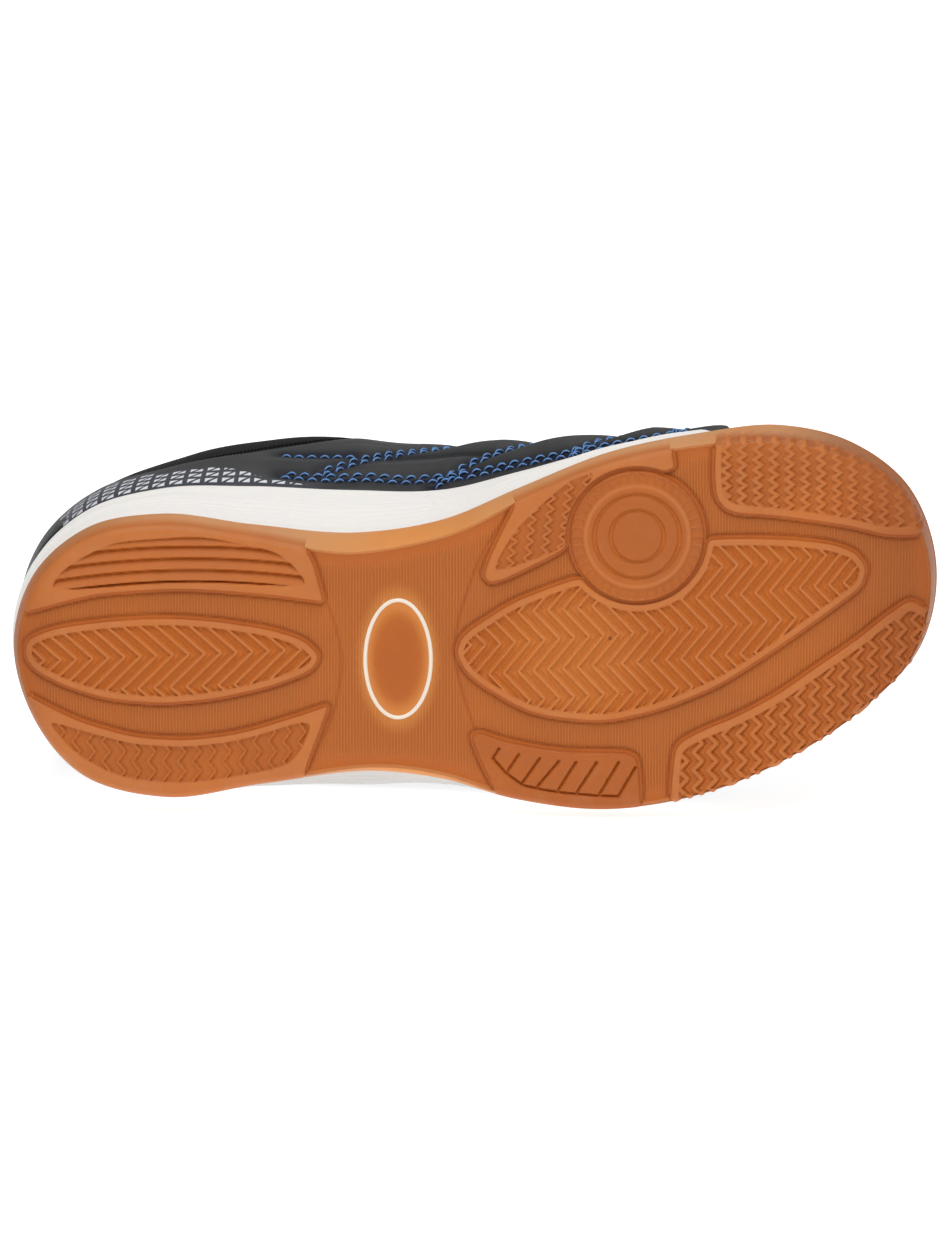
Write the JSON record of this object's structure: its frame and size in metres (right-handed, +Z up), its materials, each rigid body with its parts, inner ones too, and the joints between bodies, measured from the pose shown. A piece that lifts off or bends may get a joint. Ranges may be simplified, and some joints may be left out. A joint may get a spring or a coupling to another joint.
{
  "type": "indoor athletic shoe",
  "caption": "Low lace-up indoor court shoe for a left foot, with a patterned gum rubber sole, a white foam midsole and a quilted black upper, lying on its outer side.",
  "frame": {"origin": "On the floor below the middle of the shoe's bounding box.", "axes": "+X runs from heel to toe, +Y towards the top of the shoe, away from its sole, and +Z up from the floor that the shoe lies on."},
  "size_m": [0.2262, 0.1028, 0.0954],
  "materials": {
    "gum_rubber": "satin natural rubber",
    "white_rubber": "satin",
    "white_foam": "matt moulded foam",
    "insole_fabric": "matt knit",
    "black_leather": "fine grain, semi-matt",
    "black_fabric": "matt mesh",
    "lace_fabric": "woven"
  },
  "bodies": {
    "root": {"outsole": "gum_rubber", "window_ring": "white_rubber", "midsole": "white_foam", "insole": "insole_fabric", "upper": "black_leather", "tongue": "black_fabric", "lace": "lace_fabric"}
  },
  "joints": []
}
